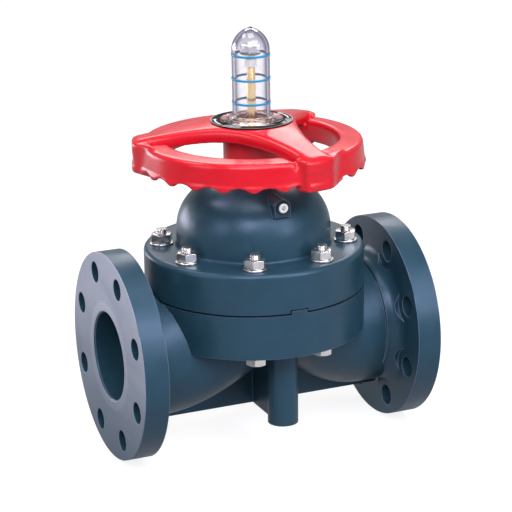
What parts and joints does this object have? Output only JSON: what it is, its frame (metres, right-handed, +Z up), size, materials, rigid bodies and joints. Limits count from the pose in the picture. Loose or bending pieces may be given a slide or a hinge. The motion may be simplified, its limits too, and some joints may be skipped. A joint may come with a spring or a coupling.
{
  "type": "diaphragm valve",
  "caption": "Hand-operated flanged weir diaphragm valve with a domed bonnet, a spoked handwheel and a clear cap over its position indicator.",
  "frame": {"origin": "centre of the inlet flange's joint face, on the flow axis", "axes": "+X along the flow from inlet to outlet, +Z up along the stem towards the handwheel, +Y across the valve away from the grease nipple"},
  "size_m": [0.28, 0.2045, 0.3725],
  "materials": {
    "body_plastic": "moulded, slightly glossy",
    "stainless": "machined",
    "rubber_black": "moulded",
    "silicone_red": "moulded",
    "compressor_plastic": "moulded",
    "stem_brass": "machined",
    "thrust_plastic": "machined",
    "wheel_red": "moulded, glossy",
    "plate_black": "printed",
    "cap_clear": "clear moulded plastic",
    "ring_blue": "moulded",
    "indicator_white": "moulded"
  },
  "bodies": {
    "valve": {"valve_body": "body_plastic", "support_inserts": "stainless", "stud_inserts": "stainless", "bonnet": "body_plastic", "bonnet_bolts": "stainless", "bonnet_studs": "stainless", "lower_washers": "stainless", "upper_washers": "stainless", "bonnet_nuts": "stainless", "diaphragm": "rubber_black", "lower_thrust_ring": "thrust_plastic", "upper_thrust_ring": "thrust_plastic", "sleeve_retainer": "body_plastic", "grease_nipple": "stainless", "nipple_seal": "rubber_black", "nipple_ball": "stainless"},
    "wheel": {"stem_sleeve": "stem_brass", "stem_o_ring": "rubber_black", "handwheel": "wheel_red", "wheel_nut": "stem_brass", "name_plate": "plate_black", "cap_o_ring": "silicone_red", "gauge_cap": "cap_clear", "gauge_rings": "ring_blue"},
    "stem_train": {"stem": "stainless", "compressor": "compressor_plastic", "compressor_pin": "stainless", "cushion": "rubber_black", "diaphragm_stud": "stainless", "indicator_rod": "stem_brass", "indicator_collar": "indicator_white", "indicator_nut": "stainless"}
  },
  "joints": [
    {"name": "handwheel_turn", "type": "hinge", "parent": "valve", "child": "wheel", "pos_m": [0.14, 0, 0.16], "axis": [0, 0, 1], "range_deg": [-2520, 0]},
    {"name": "stem_slide", "type": "slide", "parent": "valve", "child": "stem_train", "axis": [0, 0, 1], "range_m": [-0.042, 0], "deforming": ["diaphragm"]}
  ],
  "couplings": [
    {"joint": "stem_slide", "follows": "handwheel_turn", "m_per_rad": 0.00095493}
  ]
}
